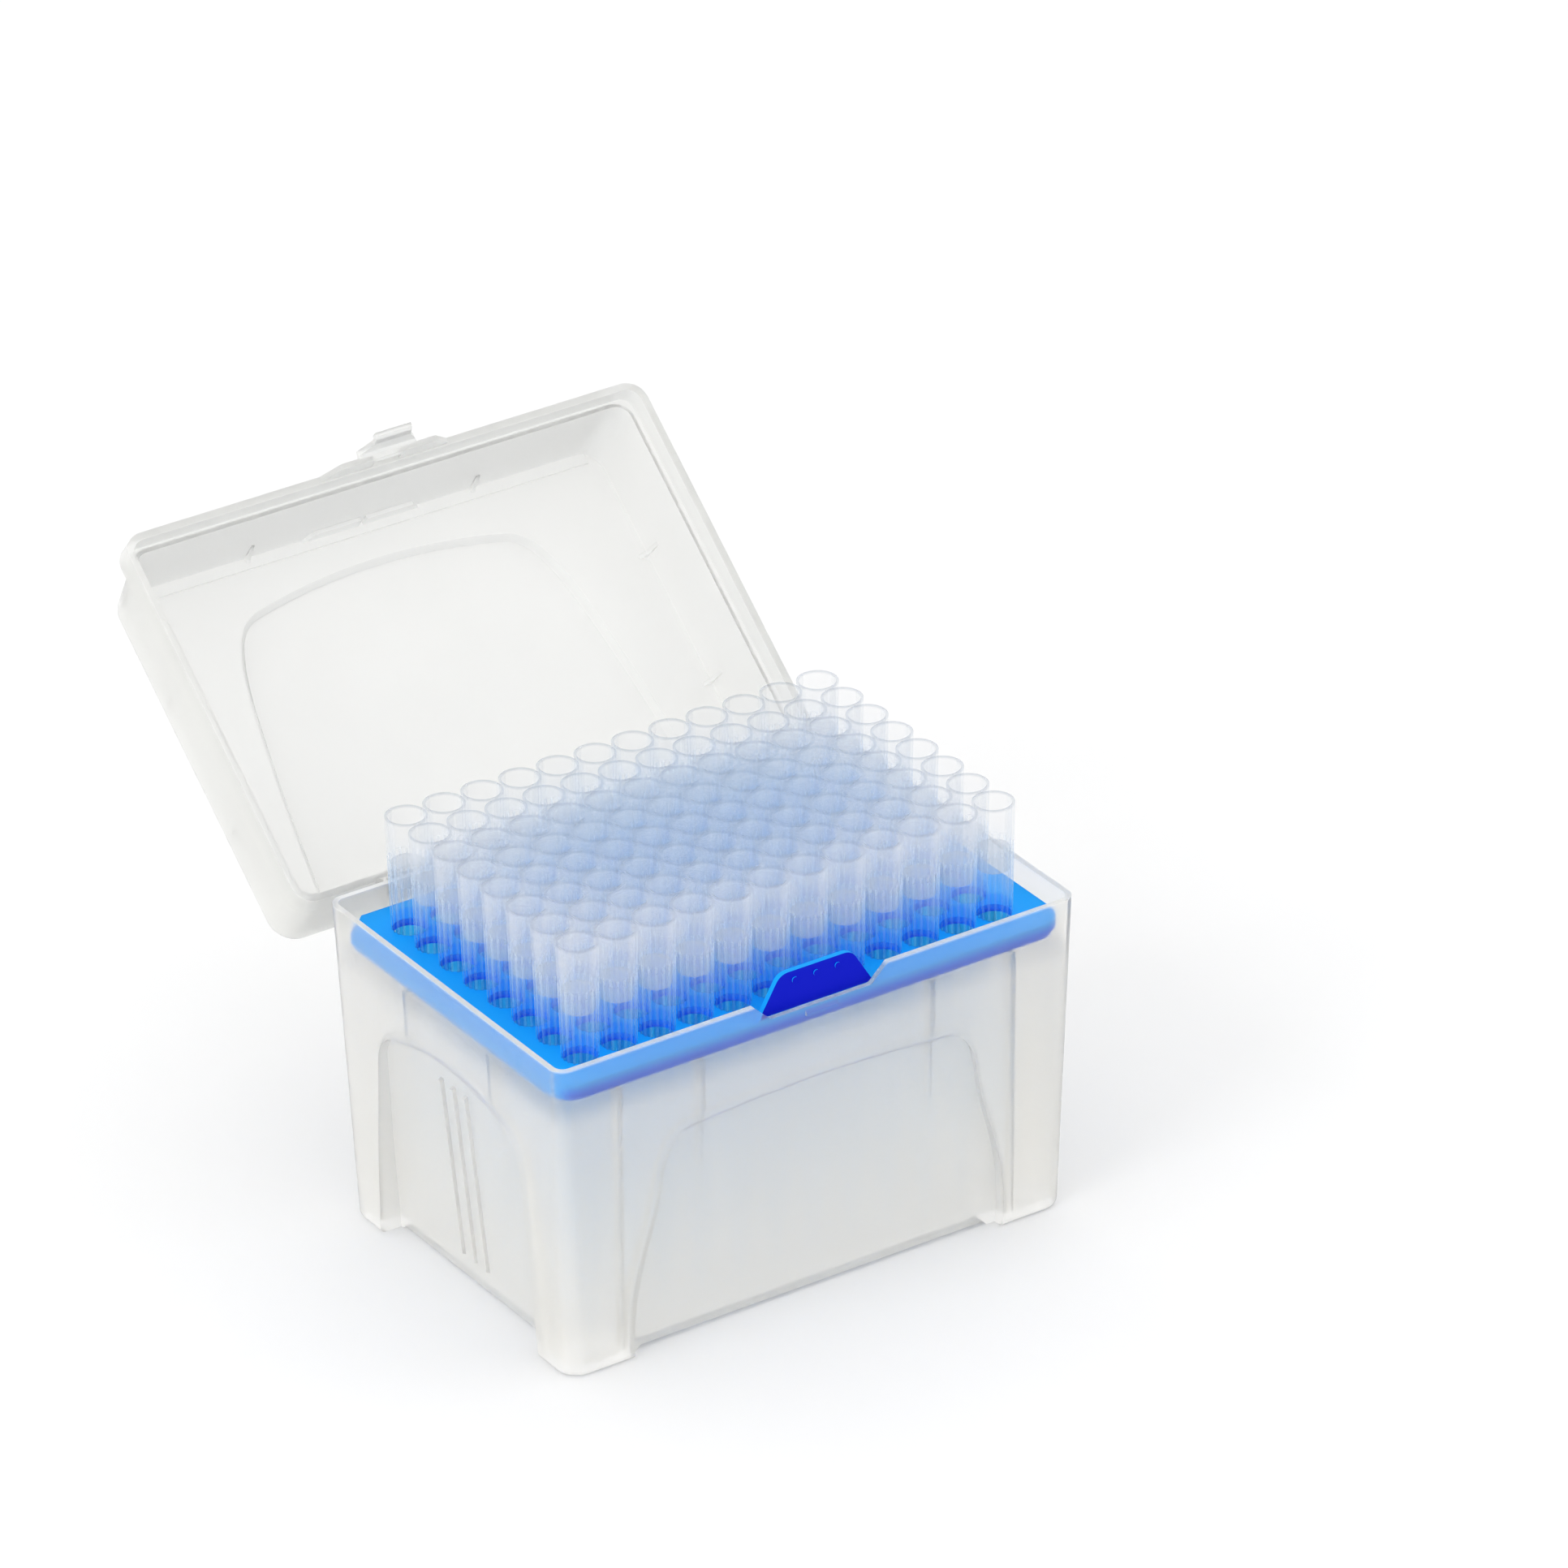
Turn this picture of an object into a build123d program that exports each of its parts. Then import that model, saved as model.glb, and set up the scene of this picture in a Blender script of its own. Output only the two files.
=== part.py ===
"""Box of pipette tips: a hinged two-part plastic box, a tip rack and its filter tips.

Millimetres, +Z up. The origin is the bottom centre of the base, on the table.
+X runs along the twelve-tip side, the latch is at -Y and the hinge at +Y.
The lid is modelled shut and then swung open about the hinge.
"""
import os

from build123d import *

# Base box
RIM_Z = 72.0
RIM_X = 124.0
RIM_Y = 86.0
DRAFT = 1.85
WALL = 1.2
RIM_RADIUS = 3.2
FOOT_RADIUS = 5.0
FOOT_HEIGHT = 1.0
FLOOR = 1.3
FOOT_EDGE = 1.5
FOOT_GAP_X = 42.4
FOOT_GAP_Y = 29.0

# Recessed arch panels: crown height, then one side of the outline as (across, height)
LONG_CROWN = RIM_Z - 20.7
LONG_SHOULDER = (28.5, RIM_Z - 22.1)
LONG_FLANK = [(33.4, RIM_Z - 23.3), (36.3, RIM_Z - 27.0), (38.3, RIM_Z - 36.0), (41.3, RIM_Z - 47.0)]
LONG_FOOT = (44.0, -3.0)
LONG_INSET = (0.8, 2.9)
SHORT_CROWN = RIM_Z - 18.5
SHORT_SHOULDER = (17.5, RIM_Z - 21.3)
SHORT_FLANK = [(22.4, RIM_Z - 22.9), (25.4, RIM_Z - 26.4), (26.6, RIM_Z - 33.0), (28.3, RIM_Z - 50.0)]
SHORT_FOOT = (30.0, -3.0)
SHORT_INSET = (1.5, 5.0)
GRIP_PITCH = 4.5
GRIP_WIDTH = 1.0
GRIP_HEIGHT = 0.8

# Ribs inside the base that carry the rack
RIB_THICK = 1.2
LONG_RIB_X = (27.5, 47.0)
SHORT_RIB_Y = 15.6
RIB_REACH_X = 57.6
RIB_REACH_Y = 38.9

# Dip in the front rim and the catch below it
DIP_TOP = 16.0
DIP_FOOT = 12.0
DIP_DEPTH = 3.9
CATCH_HALF = 3.8
CATCH_TOP = RIM_Z - 4.0
CATCH_FOOT = RIM_Z - 5.9
CATCH_REACH = 0.55

# Tip rack
PITCH = 9.0
COLUMNS = 12
ROWS = 8
PLATE_TOP = 67.1
PLATE_THICK = 1.6
RACK_X = 120.4
RACK_Y = 82.4
RACK_RADIUS = 5.5
KEY_CORNER = 5.2
SKIRT_WALL = 1.2
SKIRT_STEP_Z = 64.9
SKIRT_STEP = 1.0
SKIRT_FOOT = 63.3
HOLE_RADIUS = 3.57
TAB_FOOT = 14.0
TAB_TOP = 8.5
TAB_Z = 76.2
TAB_THICK = 1.2
PIP_PITCH = 5.1
PIP_RADIUS = 0.65

# Filter tip
TIP_LENGTH = 88.0
TIP_TOP = 92.7
TIP_TOP_RADIUS = 4.365
COLLAR = 9.3
COLLAR_RADIUS = 4.15
RIB_COUNT = 18
RIB_WIDTH = 0.5
RIBBED_END = TIP_TOP - PLATE_TOP
RIBBED_RADIUS = 3.8
GAP_HEIGHT = 2.7
CORE_RADIUS = 3.84
NECK_RADIUS = 3.47
BREAK = 67.8
BREAK_RADIUS = 2.335
END_RADIUS = 0.5
BORE_TOP = 3.85
BORE_NECK = 2.95
BORE_BREAK = 1.78
BORE_LEDGE = 1.42
BORE_END = 0.26
FILTER_TOP = 10.5
FILTER_FOOT = 15.0
FILTER_GAP = 0.02

# Lid, as it is when shut
LID_GAP = 0.05
LID_RIM_Z = RIM_Z + LID_GAP
LID_X = 126.0
LID_Y = 86.4
LID_RADIUS = 4.6
LID_DEPTH = 23.6
LID_WALL = 1.2
FLANGE_HEIGHT = 5.5
FLANGE_WALL = 1.6
FLANGE_WEB = 1.0
UPPER_X = (61.4, 59.7)
UPPER_FRONT = (41.9, 39.8)
UPPER_BACK = (43.0, 42.9)
UPPER_RADIUS = 6.0
TOP_EDGE = 1.8
ARCH_CROWN = 30.4
ARCH_SHOULDER = (29.0, 27.3)
ARCH_FLANK = [(34.8, 24.2), (37.6, 19.3), (41.5, 3.0), (44.4, -18.0)]
ARCH_FOOT = (46.2, -36.5)
ARCH_RISE = 1.8
ARCH_SPREAD = 1.0
GUSSET_THICK = 0.9
GUSSET_REACH = 2.0
GUSSET_HEIGHT = 6.0
GUSSET_X = 27.5
GUSSET_Y = (-13.0, 18.0)
SILL_WIDTH = 2.4
SILL_HEIGHT = 0.7
SILL_RISE = 3.4
SILL_RISE_HALF = 12.0
APRON_TOP = 15.4
APRON_FOOT = 11.4
APRON_DROP = 3.6
APRON_WALL = 1.2
WINDOW_HALF = 3.3
LATCH_ROOT = 6.9
LATCH_HALF = 4.3
LATCH_INNER = 43.7
LATCH_WALL = 1.1
LATCH_DROP = 3.95
LATCH_LIP = 2.0

# Hinge
HINGE_Y = 46.5
HINGE_Z = 68.0
HINGE_X = 38.0
PIN_RADIUS = 1.25
BORE_CLEARANCE = 0.08
KNUCKLE_RADIUS = 2.7
KNUCKLE_LENGTH = 13.0
LUG_GAP = 0.4
LUG_THICK = 2.0
LUG_RADIUS = 2.4
MOUTH = 2.2
STOP_GAP = 0.1
OPEN_ANGLE = 140.0

FAR = 90.0


def rounded_frustum(low, high):
    """Solid between two rounded rectangles given as (x, front, back, radius, z)."""
    sections = []
    for half_x, front, back, radius, z in (low, high):
        sketch = RectangleRounded(2 * half_x, front + back, radius)
        sections.append(Pos(0, (back - front) / 2, z) * sketch)
    return loft(sections, ruled=True)


def wall_half(half_at_rim, z):
    """Half width of the drafted outer wall at height z."""
    return half_at_rim - DRAFT * (1 - z / RIM_Z)


def profile_x(points, half_length, x=0.0):
    """Polygon in Y and Z, drawn out along X to both sides of x."""
    wire = Polyline(*[(0, y, z) for y, z in points], close=True)
    face = make_face(wire)
    return Pos(x, 0, 0) * extrude(face, amount=half_length, dir=(1, 0, 0), both=True)


def profile_y(points, y_from, y_to):
    """Polygon in X and Z, drawn out along Y."""
    wire = Polyline(*[(x, y_from, z) for x, z in points], close=True)
    return extrude(make_face(wire), amount=y_to - y_from, dir=(0, 1, 0))


def grown(outline, amount):
    """The same arch outline, moved outwards all along its top and sides."""
    crown, shoulder, flank, foot = outline
    corner = [(0.55, 0.85), (0.9, 0.45)]
    shares = corner + [(1.0, 0.0)] * (len(flank) - len(corner))
    wide = [(x + share[0] * amount, y + share[1] * amount) for (x, y), share in zip(flank, shares)]
    return (crown + amount, (shoulder[0] + 0.2 * amount, shoulder[1] + amount), wide, (foot[0] + amount, foot[1]))


def arch_face(crown, shoulder, flank, foot):
    """Flat arch in X and Y: convex top, rounded shoulders and flaring sides."""
    left_shoulder = (-shoulder[0], shoulder[1])
    left_foot = (-foot[0], foot[1])
    top = ThreePointArc(left_shoulder, (0, crown), shoulder)
    right = Spline(shoulder, *flank, foot)
    left = Spline(left_shoulder, *[(-x, y) for x, y in flank], left_foot)
    base = Line(left_foot, foot)
    return make_face([top, right, base, left])


def face_recess(half_at_rim, outline, crown, inset, grow=0.0):
    """Material outside a recessed arch panel on the -Y face, grown by one wall on request."""
    face = arch_face(*grown(outline, grow))
    prism = extrude(Plane.XZ * face, amount=FAR)
    at_crown = wall_half(half_at_rim, crown) - inset[0] - grow
    at_foot = wall_half(half_at_rim, 0) - inset[1] - grow
    slope = (at_crown - at_foot) / crown
    high = crown + 6
    points = [
        (-at_foot + 4 * slope, -4),
        (-at_foot - slope * high, high),
        (-FAR, high),
        (-FAR, -4),
    ]
    return prism & profile_x(points, FAR)


LONG_OUTLINE = (LONG_CROWN, LONG_SHOULDER, LONG_FLANK, LONG_FOOT)
SHORT_OUTLINE = (SHORT_CROWN, SHORT_SHOULDER, SHORT_FLANK, SHORT_FOOT)


def recesses(grow=0.0):
    """The four panel recesses round the base."""
    long_side = face_recess(RIM_Y / 2, LONG_OUTLINE, LONG_CROWN, LONG_INSET, grow)
    short_side = face_recess(RIM_X / 2, SHORT_OUTLINE, SHORT_CROWN, SHORT_INSET, grow)
    turned = [long_side, Rot(0, 0, 180) * long_side]
    turned += [Rot(0, 0, 90) * short_side, Rot(0, 0, -90) * short_side]
    return turned


def base_cavity():
    """Inside of the base, following the recessed panels."""
    floor_z = FOOT_HEIGHT + FLOOR
    floor_x = wall_half(RIM_X / 2, floor_z) - WALL
    floor_y = wall_half(RIM_Y / 2, floor_z) - WALL
    top_x = RIM_X / 2 - WALL
    top_y = RIM_Y / 2 - WALL
    low = (floor_x, floor_y, floor_y, FOOT_RADIUS - WALL, floor_z)
    high = (top_x, top_y, top_y, RIM_RADIUS - WALL, RIM_Z)
    cavity = rounded_frustum(low, high)
    for recess in recesses(WALL):
        cavity -= recess
    return cavity


def base_outside():
    """Outer form of the base with its recessed panels and raised bottom."""
    low = (wall_half(RIM_X / 2, 0), wall_half(RIM_Y / 2, 0), wall_half(RIM_Y / 2, 0), FOOT_RADIUS, 0)
    high = (RIM_X / 2, RIM_Y / 2, RIM_Y / 2, RIM_RADIUS, RIM_Z)
    body = rounded_frustum(low, high)
    body = fillet(body.faces().sort_by(Axis.Z)[0].edges(), FOOT_EDGE)
    for recess in recesses():
        body -= recess
    for half, turn in ((FOOT_GAP_X, 0), (FOOT_GAP_Y, 90)):
        points = [
            (-half - FOOT_HEIGHT, -FOOT_HEIGHT),
            (-half + FOOT_HEIGHT, FOOT_HEIGHT),
            (half - FOOT_HEIGHT, FOOT_HEIGHT),
            (half + FOOT_HEIGHT, -FOOT_HEIGHT),
        ]
        body -= Rot(0, 0, turn) * profile_y(points, -FAR, FAR)
    return body


def base_ribs():
    """Upright ribs along the walls that the rack's skirt stands on."""
    ribs = []
    height = SKIRT_FOOT
    for side in (-1, 1):
        for x in LONG_RIB_X:
            for half in (-x, x):
                ribs.append(Pos(half, side * (RIB_REACH_Y + 5), height / 2) * Box(RIB_THICK, 10, height))
        for y in (-SHORT_RIB_Y, SHORT_RIB_Y):
            ribs.append(Pos(side * (RIB_REACH_X + 5), y, height / 2) * Box(10, RIB_THICK, height))
    return ribs


def grip_ribs():
    """Three slim upright grips on each short panel."""
    half_at_crown = wall_half(RIM_X / 2, SHORT_CROWN) - SHORT_INSET[0]
    half_at_foot = wall_half(RIM_X / 2, 0) - SHORT_INSET[1]
    slope = (half_at_crown - half_at_foot) / SHORT_CROWN
    low, high = 6.0, SHORT_CROWN - 5.0
    at_low = half_at_foot + slope * low
    at_high = half_at_foot + slope * high
    points = [
        (-at_low + 0.4, low),
        (-at_low - GRIP_HEIGHT, low + 0.6),
        (-at_high - GRIP_HEIGHT, high - 0.6),
        (-at_high + 0.4, high),
    ]
    grips = []
    for index in (-1, 0, 1):
        grip = profile_x(points, GRIP_WIDTH / 2, index * GRIP_PITCH)
        grips += [Rot(0, 0, 90) * grip, Rot(0, 0, -90) * grip]
    return grips


def rim_dip():
    """Cut for the dip in the middle of the front rim."""
    foot = RIM_Z - DIP_DEPTH
    corners = [(-DIP_FOOT, foot), (DIP_FOOT, foot), (DIP_TOP, RIM_Z), (DIP_TOP, RIM_Z + 2)]
    corners += [(-DIP_TOP, RIM_Z + 2), (-DIP_TOP, RIM_Z)]
    cut = profile_y(corners, -RIM_Y / 2 - 2, -RIM_Y / 2 + 4)
    low_edges = cut.edges().filter_by(Axis.Y).group_by(Axis.Z)[0]
    return fillet(low_edges, 1.2)


def catch():
    """Ridge below the dip that the lid's latch tab comes down over."""
    inner = -wall_half(RIM_Y / 2, CATCH_FOOT) + 0.4
    outer = -wall_half(RIM_Y / 2, CATCH_TOP) - CATCH_REACH
    points = [(inner, CATCH_FOOT), (outer, CATCH_FOOT + 0.2), (outer, CATCH_FOOT + 0.8), (inner, CATCH_TOP)]
    return profile_x(points, CATCH_HALF)


def hinge_lugs():
    """Two hinge pins on the back wall, each held between two lugs."""
    wall = wall_half(RIM_Y / 2, HINGE_Z) - 0.6
    half_pin = KNUCKLE_LENGTH / 2 + LUG_GAP + LUG_THICK
    parts = []
    for side in (-1, 1):
        x = side * HINGE_X
        pin = Pos(x, HINGE_Y, HINGE_Z) * Rot(0, 90, 0) * Cylinder(PIN_RADIUS, 2 * half_pin)
        parts.append(pin)
        for end in (-1, 1):
            lug_x = x + end * (half_pin - LUG_THICK / 2)
            eye = Pos(lug_x, HINGE_Y, HINGE_Z) * Rot(0, 90, 0) * Cylinder(LUG_RADIUS, LUG_THICK)
            web = profile_x(
                [
                    (wall, HINGE_Z - 8),
                    (HINGE_Y + LUG_RADIUS * 0.6, HINGE_Z - LUG_RADIUS * 0.8),
                    (HINGE_Y, HINGE_Z + LUG_RADIUS),
                    (wall, HINGE_Z + LUG_RADIUS + 0.6),
                ],
                LUG_THICK / 2,
                lug_x,
            )
            parts += [eye, web]
    return parts


def base_box():
    """Base with panels, feet, ribs, catch and hinge lugs."""
    cavity = base_cavity()
    body = base_outside() - cavity
    for rib in base_ribs():
        body += rib & cavity
    for extra in grip_ribs() + hinge_lugs() + [catch()]:
        body += extra
    return body - rim_dip()


def tip_rack():
    """Perforated plate with a stepped skirt, one corner cut off as a key and a raised tab at the front."""
    half_x = RACK_X / 2
    half_y = RACK_Y / 2
    upper = extrude(Pos(0, 0, SKIRT_STEP_Z) * RectangleRounded(RACK_X, RACK_Y, RACK_RADIUS),
                    amount=PLATE_TOP - SKIRT_STEP_Z)
    lower_size = (RACK_X - 2 * SKIRT_STEP, RACK_Y - 2 * SKIRT_STEP)
    lower = extrude(Pos(0, 0, SKIRT_FOOT) * RectangleRounded(*lower_size, RACK_RADIUS - SKIRT_STEP),
                    amount=SKIRT_STEP_Z - SKIRT_FOOT)
    inset = SKIRT_STEP + SKIRT_WALL
    hollow = extrude(Pos(0, 0, SKIRT_FOOT) * RectangleRounded(RACK_X - 2 * inset, RACK_Y - 2 * inset,
                                                              RACK_RADIUS - inset),
                     amount=PLATE_TOP - PLATE_THICK - SKIRT_FOOT)
    corner = Pos(-half_x, half_y, PLATE_TOP) * Rot(0, 0, 45)
    depth = KEY_CORNER * 2 ** 0.5
    hollow -= corner * Box(20, depth + 2 * SKIRT_WALL, 20)
    rack = upper + lower - corner * Box(20, depth, 20) - hollow
    front = -half_y
    corners = [(-TAB_FOOT, SKIRT_STEP_Z), (TAB_FOOT, SKIRT_STEP_Z), (TAB_FOOT, PLATE_TOP), (TAB_TOP, TAB_Z)]
    corners += [(-TAB_TOP, TAB_Z), (-TAB_FOOT, PLATE_TOP)]
    tab = profile_y(corners, front, front + TAB_THICK)
    tab = fillet(tab.edges().filter_by(Axis.Y).group_by(Axis.Z)[-1], 3.2)
    rack += tab
    for index in (-1, 0, 1):
        pip = Pos(index * PIP_PITCH, front, TAB_Z - 2.1) * Rot(90, 0, 0) * Cylinder(PIP_RADIUS, 0.5)
        rack += pip
    holes = [
        Pos(*place, PLATE_TOP) * Cylinder(HOLE_RADIUS, 3 * PLATE_THICK)
        for column in range(COLUMNS)
        for place in column_places(column)
    ]
    return rack - holes


def column_places(column):
    """Centres of the tips in one column, front to back."""
    x = (column - (COLUMNS - 1) / 2) * PITCH
    return [(x, (row - (ROWS - 1) / 2) * PITCH) for row in range(ROWS)]


def bore_radius(depth):
    """Radius of the tip's bore above the ribbed end."""
    return BORE_TOP + (BORE_NECK - BORE_TOP) * depth / RIBBED_END


def filter_tip():
    """One tip, top at Z zero and point downwards."""
    outline = [
        (BORE_TOP, 0),
        (TIP_TOP_RADIUS, 0),
        (COLLAR_RADIUS, -COLLAR),
        (CORE_RADIUS, -COLLAR),
        (CORE_RADIUS - 0.15, -RIBBED_END + GAP_HEIGHT),
        (NECK_RADIUS, -RIBBED_END + GAP_HEIGHT),
        (NECK_RADIUS, -RIBBED_END - 0.6),
        (BREAK_RADIUS, -BREAK),
        (END_RADIUS, -TIP_LENGTH),
        (BORE_END, -TIP_LENGTH),
        (BORE_LEDGE, -BREAK),
        (BORE_BREAK, -BREAK),
        (BORE_NECK, -RIBBED_END),
    ]
    wire = Polyline(*[(radius, 0, z) for radius, z in outline], close=True)
    tip = revolve(make_face(wire), Axis.Z)
    rib_points = [
        (CORE_RADIUS - 0.2, -COLLAR + 0.2),
        (COLLAR_RADIUS, -COLLAR + 0.2),
        (COLLAR_RADIUS, -COLLAR),
        (RIBBED_RADIUS, -RIBBED_END),
        (NECK_RADIUS - 0.3, -RIBBED_END),
    ]
    rib_wire = Polyline(*[(radius, 0, z) for radius, z in rib_points], close=True)
    rib = extrude(make_face(rib_wire), amount=RIB_WIDTH / 2, dir=(0, 1, 0), both=True)
    return tip + [Rot(0, 0, index * 360 / RIB_COUNT) * rib for index in range(RIB_COUNT)]


def filter_plug():
    """One filter plug, in the frame of its tip."""
    top = bore_radius(FILTER_TOP) - FILTER_GAP
    foot = bore_radius(FILTER_FOOT) - FILTER_GAP
    height = FILTER_FOOT - FILTER_TOP
    return Pos(0, 0, -(FILTER_TOP + FILTER_FOOT) / 2) * Cone(foot, top, height)


def along_column(shape, column, label):
    """Copies of a shape at every tip of one column, as separate solids."""
    solids = []
    for x, y in column_places(column):
        placed = Pos(x, y, TIP_TOP) * shape
        solids += placed.solids()
    return Compound(label=label, children=solids)


def upper_section(inset, z, share, radius):
    """Rounded section of the lid's upper body; share runs from 0 at the rim to 1 at the top."""
    half_x = UPPER_X[0] + (UPPER_X[1] - UPPER_X[0]) * share - inset
    front = UPPER_FRONT[0] + (UPPER_FRONT[1] - UPPER_FRONT[0]) * share - inset
    back = UPPER_BACK[0] + (UPPER_BACK[1] - UPPER_BACK[0]) * share - inset
    return (half_x, front, back, radius, z)


def lid_gussets():
    """Small webs between the lid's walls and its top."""
    top_z = LID_RIM_Z + LID_DEPTH - LID_WALL
    half_x = UPPER_X[1] - LID_WALL
    front = UPPER_FRONT[1] - LID_WALL
    web = [(0.6, 0.6), (-GUSSET_REACH, 0.6), (-GUSSET_REACH, 0), (-GUSSET_REACH + 1.2, -1.6), (0.6, -GUSSET_HEIGHT)]
    gussets = []
    for side in (-1, 1):
        for y in GUSSET_Y:
            points = [(side * (half_x + a), top_z + b) for a, b in web]
            gussets.append(profile_y(points, y - GUSSET_THICK / 2, y + GUSSET_THICK / 2))
        points = [(-front - 0.75 * a, top_z + b) for a, b in web]
        gussets.append(profile_x(points, GUSSET_THICK / 2, side * GUSSET_X))
    return gussets


def lid_sill():
    """Low sill along the foot of the front wall, raised behind the latch."""
    top_z = LID_RIM_Z + LID_DEPTH - LID_WALL
    front = UPPER_FRONT[1] - LID_WALL
    reach = UPPER_X[1] - LID_WALL - 3.0
    sill = Pos(0, -front + (SILL_WIDTH - 0.6) / 2, top_z) * Box(2 * reach, SILL_WIDTH + 0.6, 2 * SILL_HEIGHT)
    points = [
        (-SILL_RISE_HALF - 3, top_z + 0.4),
        (SILL_RISE_HALF + 3, top_z + 0.4),
        (SILL_RISE_HALF, top_z - SILL_RISE),
        (0.6, top_z - SILL_RISE),
        (0.6, top_z - SILL_HEIGHT),
        (-0.6, top_z - SILL_HEIGHT),
        (-0.6, top_z - SILL_RISE),
        (-SILL_RISE_HALF, top_z - SILL_RISE),
    ]
    return [sill, profile_y(points, -front - 0.8, -front + 0.6)]


def lid_latch():
    """Apron that fills the rim dip, with a window and a hanging latch tab."""
    foot = LID_RIM_Z - APRON_DROP
    face = LID_Y / 2
    corners = [(-APRON_FOOT, foot), (APRON_FOOT, foot), (APRON_TOP, LID_RIM_Z), (APRON_TOP, LID_RIM_Z + 1)]
    corners += [(-APRON_TOP, LID_RIM_Z + 1), (-APRON_TOP, LID_RIM_Z)]
    apron = profile_y(corners, -face, -face + APRON_WALL)
    apron = fillet(apron.edges().filter_by(Axis.Y).group_by(Axis.Z)[0], 1.2)
    window = Pos(0, -face, LID_RIM_Z - 1.0) * Box(2 * WINDOW_HALF, 3, 2.2)
    outer = LATCH_INNER + LATCH_WALL
    top = foot + 1.4
    neck = foot - LATCH_DROP
    low = neck - LATCH_LIP
    section = [
        (-face + 0.3, top),
        (-face + 0.3, foot + 0.3),
        (-LATCH_INNER, foot - 0.3),
        (-LATCH_INNER, neck),
        (-LATCH_INNER - 0.8, low),
        (-outer - 0.6, low),
        (-outer - 0.6, neck - 0.5),
        (-outer, neck),
        (-outer, foot + 0.3),
    ]
    outline = [
        (-LATCH_ROOT, top),
        (-LATCH_ROOT, foot),
        (-LATCH_HALF, neck),
        (-LATCH_HALF, low),
        (LATCH_HALF, low),
        (LATCH_HALF, neck),
        (LATCH_ROOT, foot),
        (LATCH_ROOT, top),
    ]
    tab = profile_x(section, LATCH_ROOT) & profile_y(outline, -outer - 2, -face + 2)
    return (apron - window) + tab


def lid_knuckles():
    """Open knuckles that ride on the base's pins, with an arm and a stop heel each."""
    bore = PIN_RADIUS + BORE_CLEARANCE
    half = KNUCKLE_LENGTH / 2
    stop = HINGE_Y - wall_half(RIM_Y / 2, HINGE_Z) - STOP_GAP
    parts = []
    for side in (-1, 1):
        x = side * HINGE_X
        centre = Pos(x, HINGE_Y, HINGE_Z)
        ring = centre * Rot(0, 90, 0) * Cylinder(KNUCKLE_RADIUS, KNUCKLE_LENGTH)
        back = UPPER_BACK[0] - 0.4
        arm_points = [
            (back, LID_RIM_Z + 0.4),
            (RIM_Y / 2 + 0.4, LID_RIM_Z + 0.4),
            (HINGE_Y - 2.55, HINGE_Z + 0.9),
            (HINGE_Y + 1.2, HINGE_Z + 2.4),
            (back + 2.2, LID_RIM_Z + 3.4),
            (back, LID_RIM_Z + 5.2),
        ]
        arm = profile_x(arm_points, half, x)
        heel_points = [(0, 0), (-stop, 0), (-stop, -1.3), (0, -2.6)]
        heel = profile_x(heel_points, half)
        heel = centre * Rot(OPEN_ANGLE, 0, 0) * heel
        hole = centre * Rot(0, 90, 0) * Cylinder(bore, 2 * KNUCKLE_LENGTH)
        mouth = centre * Rot(-100, 0, 0) * Pos(0, 5, 0) * Box(2 * KNUCKLE_LENGTH, 10, MOUTH)
        parts.append(ring + arm + heel - hole - mouth)
    return parts


def lid_arch(z):
    """Raised arch panel that stands on the plane at height z."""
    outline = (ARCH_CROWN, ARCH_SHOULDER, ARCH_FLANK, ARCH_FOOT)
    low = Pos(0, 0, z) * arch_face(*outline)
    high = Pos(0, 0, z + ARCH_RISE) * arch_face(*grown(outline, -ARCH_SPREAD))
    return Rot(0, 0, 180) * loft([low, high], ruled=True)


def lid_shut():
    """Lid as it sits on the base."""
    top = LID_RIM_Z + LID_DEPTH
    flange_top = LID_RIM_Z + FLANGE_HEIGHT
    body = rounded_frustum(upper_section(0, LID_RIM_Z, 0, UPPER_RADIUS - 2), upper_section(0, top, 1, UPPER_RADIUS))
    body = fillet(body.faces().sort_by(Axis.Z)[-1].edges(), TOP_EDGE)
    half_y = LID_Y / 2
    body += rounded_frustum((LID_X / 2, half_y, half_y, LID_RADIUS, LID_RIM_Z),
                            (LID_X / 2, half_y, half_y, LID_RADIUS, flange_top))
    body += lid_arch(top)
    inner_top = top - LID_WALL
    cavity = rounded_frustum(upper_section(LID_WALL, LID_RIM_Z, 0, UPPER_RADIUS - 2 - LID_WALL),
                             upper_section(LID_WALL, inner_top, 1, UPPER_RADIUS - LID_WALL))
    inner_y = half_y - FLANGE_WALL
    flange_inner = (LID_X / 2 - FLANGE_WALL, inner_y, inner_y, LID_RADIUS - FLANGE_WALL)
    cavity += rounded_frustum((*flange_inner, LID_RIM_Z), (*flange_inner, flange_top - FLANGE_WEB))
    cavity += lid_arch(inner_top)
    lid = body - cavity
    for extra in lid_gussets() + lid_sill() + [lid_latch()] + lid_knuckles():
        lid += extra
    return lid


def swing(shape, angle):
    """Turn a shape about the hinge axis."""
    return Pos(0, HINGE_Y, HINGE_Z) * Rot(angle, 0, 0) * Pos(0, -HINGE_Y, -HINGE_Z) * shape


def main():
    """Write one STEP file per node."""
    os.makedirs("parts", exist_ok=True)
    nodes = {
        "base_box": base_box(),
        "tip_rack": tip_rack(),
        "lid": swing(lid_shut(), -OPEN_ANGLE),
    }
    tip = filter_tip()
    plug = filter_plug()
    for column in range(COLUMNS):
        number = f"{column + 1:02d}"
        nodes[f"tip_column_{number}"] = along_column(tip, column, f"tip_column_{number}")
        nodes[f"filter_column_{number}"] = along_column(plug, column, f"filter_column_{number}")
    for name, shape in nodes.items():
        export_step(shape, f"parts/{name}.step")
        print(name, len(shape.solids()), round(shape.volume, 1))


main()
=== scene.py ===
import math

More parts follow.
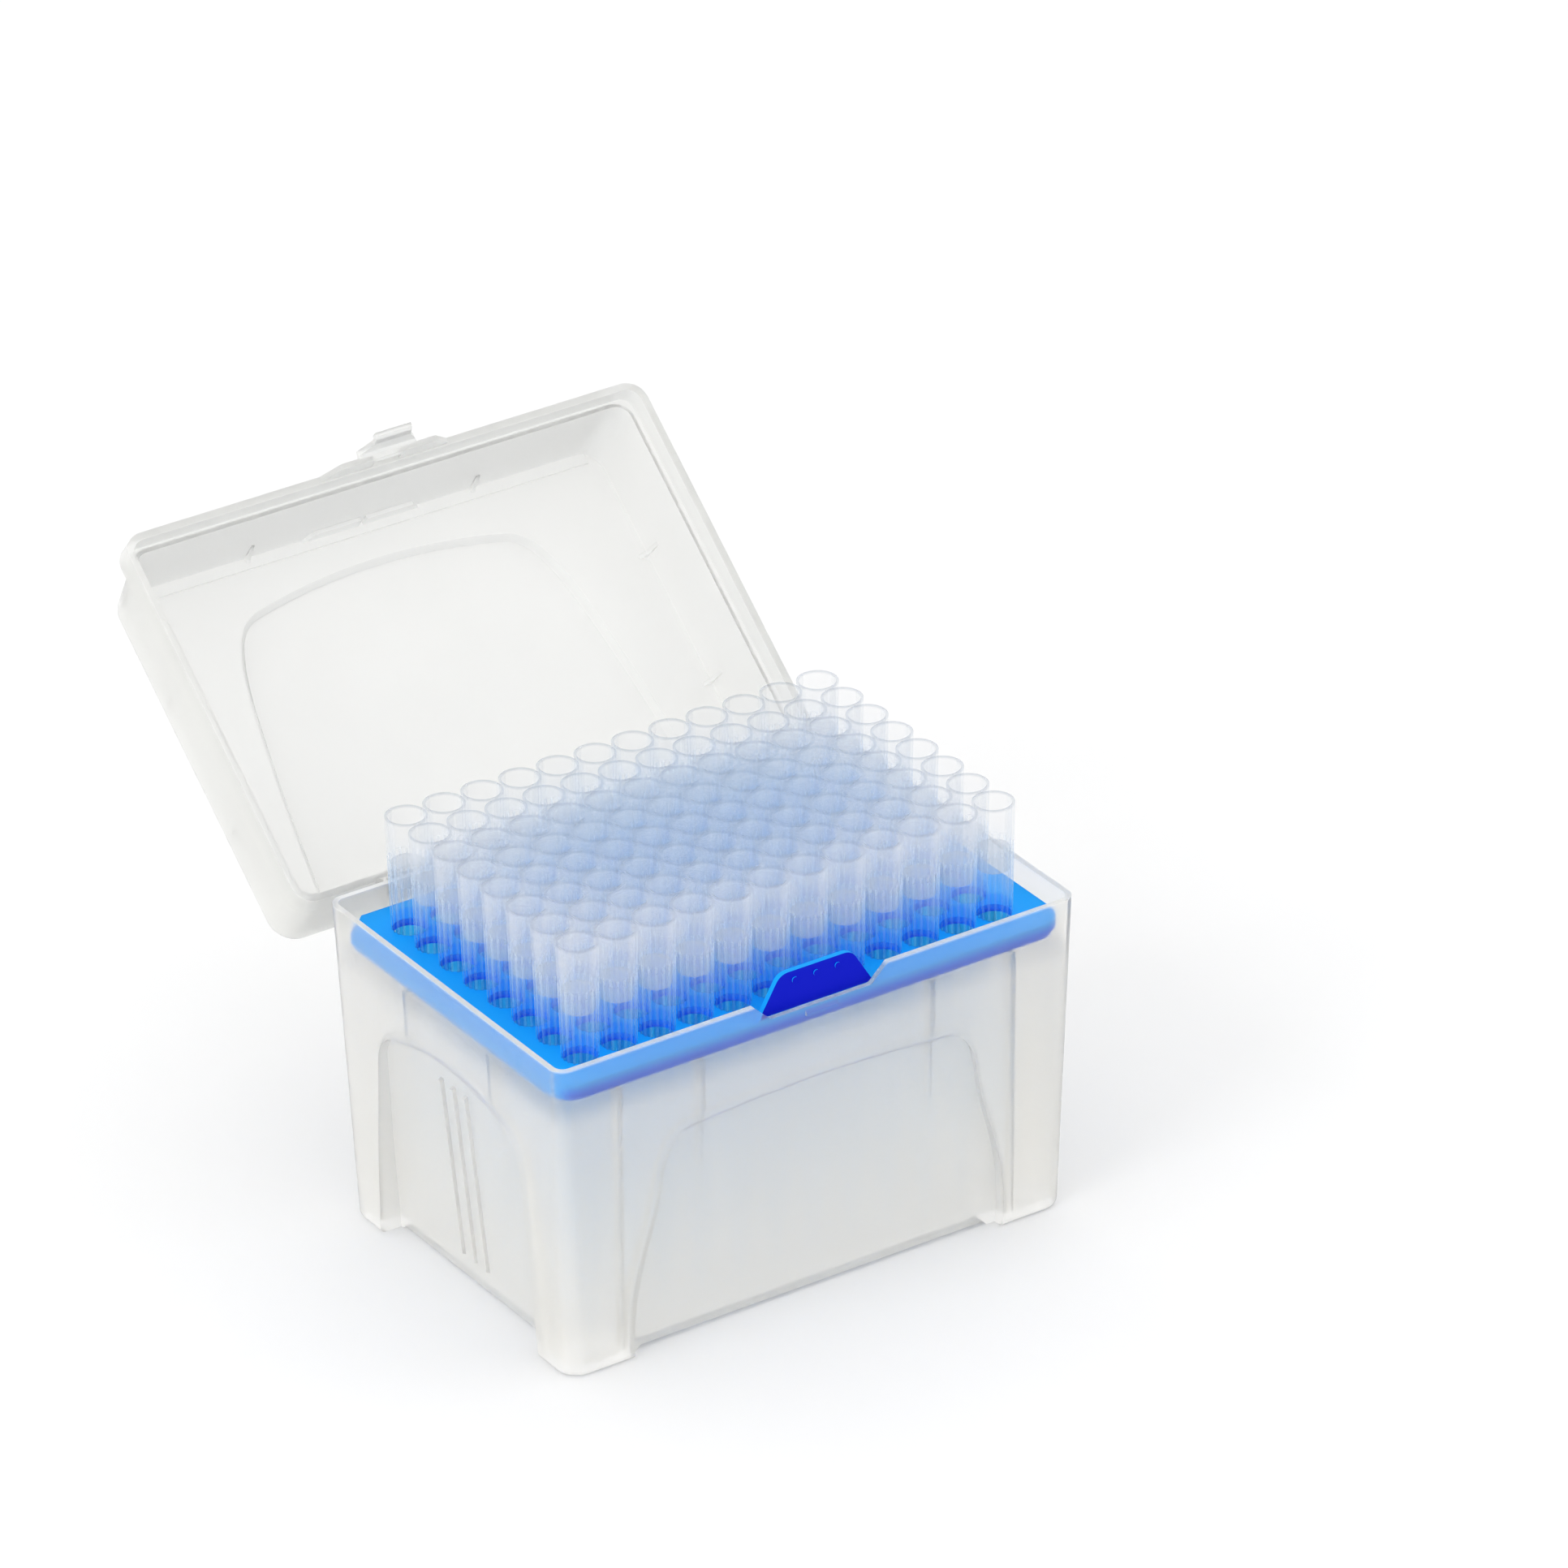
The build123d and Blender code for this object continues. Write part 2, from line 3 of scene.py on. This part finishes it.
import bpy
from mathutils import Matrix, Vector

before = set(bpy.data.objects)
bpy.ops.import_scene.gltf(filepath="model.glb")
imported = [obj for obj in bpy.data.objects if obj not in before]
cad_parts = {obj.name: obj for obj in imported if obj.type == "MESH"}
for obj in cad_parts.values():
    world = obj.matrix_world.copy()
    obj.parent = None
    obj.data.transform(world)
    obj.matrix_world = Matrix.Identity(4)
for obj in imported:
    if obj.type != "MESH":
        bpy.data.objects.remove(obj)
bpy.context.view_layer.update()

# Box of pipette tips. Lengths are in metres, and the latch side faces -Y.
COLUMNS = 12
TIP_PITCH = 0.009

# Each span says where a look begins to change and where the change is complete.
# Heights above the floor
WALL_THINS = (0.058, 0.0635)
RIM_EDGE = (0.0715, 0.0719)
SKIRT_FOOT = (0.0670, 0.0652)
TAB_FOOT = (0.0674, 0.0680)
RIBS_TOP = (0.0834, 0.0830)
NECK_TOP = (0.0700, 0.0696)
NECK_FOOT = (0.0600, 0.0640)
MOUTH_EDGE = (0.0922, 0.0926)
BLUE_FADES = (0.068, 0.086)
HAZE_RISES = (0.067, 0.080)
# Distances from a tip's axis
RIB_OUTSIDE = (0.00372, 0.00378)
NECK_SURFACE = (0.00360, 0.00354)
# Y of the surface normal
FACES_FRONT = (-0.5, -0.9)
# Distance from the middle of the rack, as a share of the field of tips
OUTER_TIPS = (0.45, 1.0)
FIELD_SHARE = (18.0, 27.0, 0.0)

# The ribs' outer edge leans outwards: 3.8 mm from the axis at the rack, 4.15 mm at the collar
RIB_LEAN = -0.0123
RIB_LEAN_START = 0.00083

# Pattern scales, in features per metre
CLOUDS = 55.0
SPARK_GRAIN = 2800.0
FLOW_LINES = (500.0, 500.0, 40.0)
RIPPLES = 160.0
PORES = 2600.0
CARD_FIBRES = 9.0

# Optics of the plastics
FROSTED_IOR = 1.22
POLYPROPYLENE_IOR = 1.49
POLYETHYLENE_IOR = 1.51
LAMP_SHARE = 0.6
RIB_HAZE = 0.16
EDGE_HAZE = 0.14

# Floor, sky, lamps and camera
FLOOR_SIZE = 12.0
CARD_LIFT = 0.02
SKY_LEVEL = (0.98, 1.0)
LAMP_SIZE = 1.3
LAMP_AIM = (0, 0.02, 0.05)
CAMERA_PLACE = (-1.0540, -1.6373, 1.1579)
CAMERA_LENS = 255.08
AZIMUTH = math.radians(-33.269)
ELEVATION = math.radians(28.565)
ROLL = math.radians(-1.012)


def from_hex(text):
    """Linear colour of an sRGB hex value."""
    values = [int(text[i:i + 2], 16) / 255 for i in (0, 2, 4)]
    return tuple(v / 12.92 if v <= 0.04045 else ((v + 0.055) / 1.055) ** 2.4 for v in values) + (1.0,)


def node(tree, kind, sockets=None, **settings):
    """Add one node, set its properties, and give each input a value or the output that feeds it."""
    made = tree.nodes.new(kind)
    for key, value in settings.items():
        setattr(made, key, value)
    for key, value in (sockets or {}).items():
        if isinstance(value, bpy.types.NodeSocket):
            tree.links.new(value, made.inputs[key])
        else:
            made.inputs[key].default_value = value
    return made


def ramp(tree, value, span, ends=(0.0, 1.0)):
    """Run from one end to the other while the value crosses the span."""
    sockets = {"Value": value, "From Min": span[0], "From Max": span[1],
               "To Min": ends[0], "To Max": ends[1]}
    return node(tree, "ShaderNodeMapRange", sockets).outputs["Result"]


def maths(tree, operation, *terms):
    """One step of arithmetic."""
    return node(tree, "ShaderNodeMath", dict(enumerate(terms)), operation=operation).outputs["Value"]


def vector_maths(tree, operation, *terms):
    """One step of vector arithmetic; a length comes out as a number."""
    made = node(tree, "ShaderNodeVectorMath", dict(enumerate(terms)), operation=operation)
    return made.outputs["Value" if operation == "LENGTH" else "Vector"]


def split(tree, vector):
    """The three outputs X, Y and Z of a vector."""
    return node(tree, "ShaderNodeSeparateXYZ", {"Vector": vector}).outputs


def noise(tree, place, scale, detail=0.0):
    """Smooth noise over the surface."""
    sockets = {"Vector": place, "Scale": scale, "Detail": detail}
    return node(tree, "ShaderNodeTexNoise", sockets).outputs["Fac"]


def bump(tree, height, strength, depth):
    """Normal of a surface raised by a pattern."""
    sockets = {"Height": height, "Strength": strength, "Distance": depth}
    return node(tree, "ShaderNodeBump", sockets).outputs["Normal"]


def blend(tree, factor, first, second):
    """Colour between two, each a hex value or an output."""
    tones = [from_hex(tone) if isinstance(tone, str) else tone for tone in (first, second)]
    sockets = {"Factor": factor, "A": tones[0], "B": tones[1]}
    return node(tree, "ShaderNodeMix", sockets, data_type="RGBA").outputs["Result"]


def mix(tree, factor, first, second):
    """Shader between two."""
    return node(tree, "ShaderNodeMixShader", {"Fac": factor, 1: first, 2: second}).outputs["Shader"]


def principled(tree, **sockets):
    """Principled shader; underscores in the names of its inputs stand for spaces."""
    named = {key.replace("_", " "): value for key, value in sockets.items()}
    return node(tree, "ShaderNodeBsdfPrincipled", named).outputs["BSDF"]


def new_material(name):
    """Empty node material, with the object coordinates that its patterns follow."""
    made = bpy.data.materials.new(name)
    made.use_nodes = True
    tree = made.node_tree
    tree.nodes.clear()
    return made, tree, node(tree, "ShaderNodeTexCoord").outputs["Object"]


def cover(tree, shader):
    """Make a shader the material's surface."""
    node(tree, "ShaderNodeOutputMaterial", {"Surface": shader})


def frosted_polypropylene(name, tones, clearness, rim_clearness=None):
    """Natural polypropylene moulded against a spark-eroded tool: milky, with a dull sheen."""
    made, tree, place = new_material(name)
    colour = blend(tree, noise(tree, place, CLOUDS, detail=1.0), *tones)
    # spark-eroded grain of about 0.15 mm, drawn at 0.35 mm so that it shows
    grain = bump(tree, noise(tree, place, SPARK_GRAIN), strength=0.12, depth=0.00005)
    transmission = clearness
    roughness = 0.32
    if rim_clearness is not None:
        # the wall thins towards the rim and clears, and the rim's own edge is milky white
        z = split(tree, place)["Z"]
        thin = ramp(tree, z, WALL_THINS, (clearness, rim_clearness))
        transmission = maths(tree, "MULTIPLY", thin, ramp(tree, z, RIM_EDGE, (1.0, 0.6)))
        roughness = ramp(tree, z, WALL_THINS, (0.45, 0.3))
    skin = principled(tree, Base_Color=colour, Normal=grain, Roughness=roughness, IOR=FROSTED_IOR,
                      Transmission_Weight=transmission)
    # a thin frosted wall throws hardly any shadow: a share of each lamp's light goes straight on
    shadow_ray = node(tree, "ShaderNodeLightPath").outputs["Is Shadow Ray"]
    straight = node(tree, "ShaderNodeBsdfTransparent").outputs["BSDF"]
    cover(tree, mix(tree, maths(tree, "MULTIPLY", shadow_ray, LAMP_SHARE), skin, straight))
    return made


def clear_polypropylene(name):
    """Clarified polypropylene moulded against polished steel: clear, faintly hazy, with white ribs."""
    made, tree, place = new_material(name)
    z = split(tree, place)["Z"]
    # distance from the nearest tip's axis
    cell = vector_maths(tree, "WRAP", place, (TIP_PITCH, TIP_PITCH, 1.0), (0.0, 0.0, -1.0))
    centre = (-TIP_PITCH / 2, -TIP_PITCH / 2, 0.0)
    flat = vector_maths(tree, "MULTIPLY_ADD", cell, (1.0, 1.0, 0.0), centre)
    radius = vector_maths(tree, "LENGTH", flat)
    upright = maths(tree, "ADD", radius, maths(tree, "MULTIPLY_ADD", z, RIB_LEAN, RIB_LEAN_START))
    ribs = maths(tree, "MULTIPLY", ramp(tree, upright, RIB_OUTSIDE), ramp(tree, z, RIBS_TOP))
    # the neck between the rack and the ribs is tinted with painted blue light from the rack
    span = maths(tree, "MULTIPLY", ramp(tree, z, NECK_TOP), ramp(tree, z, NECK_FOOT))
    neck = maths(tree, "MULTIPLY", span, ramp(tree, radius, NECK_SURFACE))
    glancing = node(tree, "ShaderNodeLayerWeight", {"Blend": 0.25}).outputs["Fresnel"]
    # painted shade: the clear tint greys at glancing angles and along the mouth's edge, standing in
    # for the dark edges that refraction shows
    pale = blend(tree, glancing, "FFFFFF", "FBFCFD")
    lip = blend(tree, ramp(tree, z, MOUTH_EDGE), pale, "EDEFF2")
    clear = node(tree, "ShaderNodeBsdfTransparent", {"Color": blend(tree, neck, lip, "B0ECFF")})
    # flow lines along the tip, about 2 mm apart across it
    along = node(tree, "ShaderNodeMapping", {"Vector": place, "Scale": FLOW_LINES})
    dull = ramp(tree, noise(tree, along.outputs["Vector"], 1.0), (0.3, 0.7), (0.06, 0.14))
    # the haze carries painted blue light from the rack, most of it low down and among the inner tips
    outward = vector_maths(tree, "LENGTH", vector_maths(tree, "MULTIPLY", place, FIELD_SHARE))
    outer = ramp(tree, outward, OUTER_TIPS, (0.8, 1.0))
    bare = maths(tree, "MULTIPLY", ramp(tree, z, BLUE_FADES), outer)
    haze_tint_with_painted_rack_light = blend(tree, bare, "98D4FF", "FEFEFE")
    skin = principled(tree, Base_Color=haze_tint_with_painted_rack_light, Roughness=dull, IOR=POLYPROPYLENE_IOR)
    through = node(tree, "ShaderNodeBsdfTranslucent", {"Color": haze_tint_with_painted_rack_light})
    # half of the haze is lit from in front and half from behind
    milk = mix(tree, 0.5, skin, through.outputs["BSDF"])
    cloudy = ramp(tree, z, HAZE_RISES, (0.02, 0.11))
    edge = maths(tree, "MULTIPLY_ADD", glancing, EDGE_HAZE, cloudy)
    haze = maths(tree, "MULTIPLY_ADD", ribs, RIB_HAZE, edge)
    cover(tree, mix(tree, haze, clear.outputs["BSDF"], milk))
    return made


def blue_polypropylene(name):
    """Polypropylene dyed azure blue, with painted shade: darker blue on the front faces of the skirt's
    foot and of the upright tab.
    """
    made, tree, place = new_material(name)
    z = split(tree, place)["Z"]
    normal = node(tree, "ShaderNodeTexCoord").outputs["Normal"]
    # painted shade on faces turned to the front: deeper blue on the skirt's foot, darker still on the
    # upright tab
    front = ramp(tree, split(tree, normal)["Y"], FACES_FRONT)
    painted_shade_on_skirt_foot = maths(tree, "MULTIPLY", ramp(tree, z, SKIRT_FOOT), front)
    tab = maths(tree, "MULTIPLY", ramp(tree, z, TAB_FOOT), front)
    colour = blend(tree, tab, blend(tree, painted_shade_on_skirt_foot, "1AA6FF", "0066F0"), "0012C4")
    ripple = bump(tree, noise(tree, place, RIPPLES), strength=0.1, depth=0.0003)
    cover(tree, principled(tree, Base_Color=colour, Normal=ripple, Roughness=0.4,
                           IOR=POLYPROPYLENE_IOR, Specular_IOR_Level=0.08))
    return made


def sintered_polyethylene(name):
    """Polyethylene grains sintered into a filter plug: white, matt and porous."""
    made, tree, place = new_material(name)
    # pores between grains of about 0.3 mm, sunk by the bump and darkened with painted shade
    pores = node(tree, "ShaderNodeTexVoronoi", {"Vector": place, "Scale": PORES})
    shade = ramp(tree, pores.outputs["Distance"], (0.0, 0.6), (1.0, 0.0))
    cover(tree, principled(tree, Base_Color=blend(tree, shade, "BCC4CE", "DCE1E8"),
                           Normal=bump(tree, shade, strength=0.4, depth=0.0001), Roughness=0.9,
                           IOR=POLYETHYLENE_IOR, Alpha=0.3))
    return made


def matt_card(name):
    """White card under the box: it keeps the shadow, and is plain white through a frosted wall."""
    made, tree, place = new_material(name)
    path = node(tree, "ShaderNodeLightPath").outputs
    colour = blend(tree, noise(tree, place, CARD_FIBRES, detail=2.0), "F6F6F6", "FAFAFA")
    card = node(tree, "ShaderNodeBsdfDiffuse", {"Color": colour, "Roughness": 0.0}).outputs["BSDF"]
    lift = node(tree, "ShaderNodeEmission", {"Strength": CARD_LIFT}).outputs["Emission"]
    lifted = node(tree, "ShaderNodeAddShader", {0: card, 1: lift}).outputs["Shader"]
    white = node(tree, "ShaderNodeEmission", {"Strength": 1.0}).outputs["Emission"]
    seen = mix(tree, path["Is Camera Ray"], card, lifted)
    cover(tree, mix(tree, path["Is Transmission Ray"], seen, white))
    return made


def dress(name, material):
    """Give a carried-over node its material."""
    thing = bpy.data.objects[name]
    thing.data.materials.clear()
    thing.data.materials.append(material)
    return thing


dress("base_box", frosted_polypropylene("frosted_polypropylene", ("FDFCF9", "FFFEFB"), 0.72, 0.94))
dress("lid", frosted_polypropylene("frosted_polypropylene_lid", ("F8F8F6", "FCFCFA"), 0.74))
tip_plastic = clear_polypropylene("clear_polypropylene")
dress("tip_rack", blue_polypropylene("blue_polypropylene"))
filter_plastic = sintered_polyethylene("sintered_polyethylene")
for column in range(1, COLUMNS + 1):
    for kind, material in (("tip", tip_plastic), ("filter", filter_plastic)):
        dress(f"{kind}_column_{column:02d}", material).visible_shadow = False

# Floor
bpy.ops.object.select_all(action="DESELECT")
bpy.ops.mesh.primitive_plane_add(size=FLOOR_SIZE, location=(0, 0, 0))
floor = bpy.context.object
floor.name = "floor"
floor.data.materials.append(matt_card("matt_card"))

# World: even white studio light, and plain white where it is seen
world = bpy.data.worlds.new("studio")
bpy.context.scene.world = world
world.use_nodes = True
sky_tree = world.node_tree
sky_tree.nodes.clear()
ray = node(sky_tree, "ShaderNodeLightPath").outputs
direct = maths(sky_tree, "MAXIMUM", ray["Is Camera Ray"], ray["Is Glossy Ray"])
plain = maths(sky_tree, "MAXIMUM", direct, ray["Is Transmission Ray"])
level = ramp(sky_tree, plain, (0.0, 1.0), SKY_LEVEL)
sky = node(sky_tree, "ShaderNodeBackground", {"Color": (1, 1, 1, 1), "Strength": level})
node(sky_tree, "ShaderNodeOutputWorld", {"Surface": sky.outputs["Background"]})


def softbox(name, place, watts):
    """Large soft lamp aimed at the box."""
    lamp = bpy.data.lights.new(name, "AREA")
    lamp.shape = "SQUARE"
    lamp.size = LAMP_SIZE
    lamp.energy = watts
    made = bpy.data.objects.new(name, lamp)
    made.location = place
    made.rotation_euler = (Vector(LAMP_AIM) - Vector(place)).to_track_quat("-Z", "Y").to_euler()
    bpy.context.scene.collection.objects.link(made)


softbox("key_softbox", (-2.0, -0.3, 1.3), 14)
softbox("fill_softbox", (1.6, -1.2, 1.6), 2)

# Camera: long lens from the front left and above
back = Vector((math.sin(AZIMUTH) * math.cos(ELEVATION), -math.cos(AZIMUTH) * math.cos(ELEVATION),
               math.sin(ELEVATION)))
level_right = Vector((math.cos(AZIMUTH), math.sin(AZIMUTH), 0))
level_up = back.cross(level_right)
right = level_right * math.cos(ROLL) + level_up * math.sin(ROLL)
up = level_up * math.cos(ROLL) - level_right * math.sin(ROLL)
lens = bpy.data.cameras.new("camera")
lens.sensor_width = 36.0
lens.lens = CAMERA_LENS
lens.clip_end = 50.0
camera = bpy.data.objects.new("camera", lens)
turn = Matrix((right, up, back)).transposed().to_4x4()
camera.matrix_world = Matrix.Translation(CAMERA_PLACE) @ turn
bpy.context.scene.collection.objects.link(camera)
bpy.context.scene.camera = camera

bpy.context.scene.view_settings.view_transform = "Standard"
bpy.context.scene.cycles.max_bounces = 12
bpy.context.scene.cycles.diffuse_bounces = 3
bpy.context.scene.cycles.transmission_bounces = 10
bpy.context.scene.cycles.transparent_max_bounces = 96
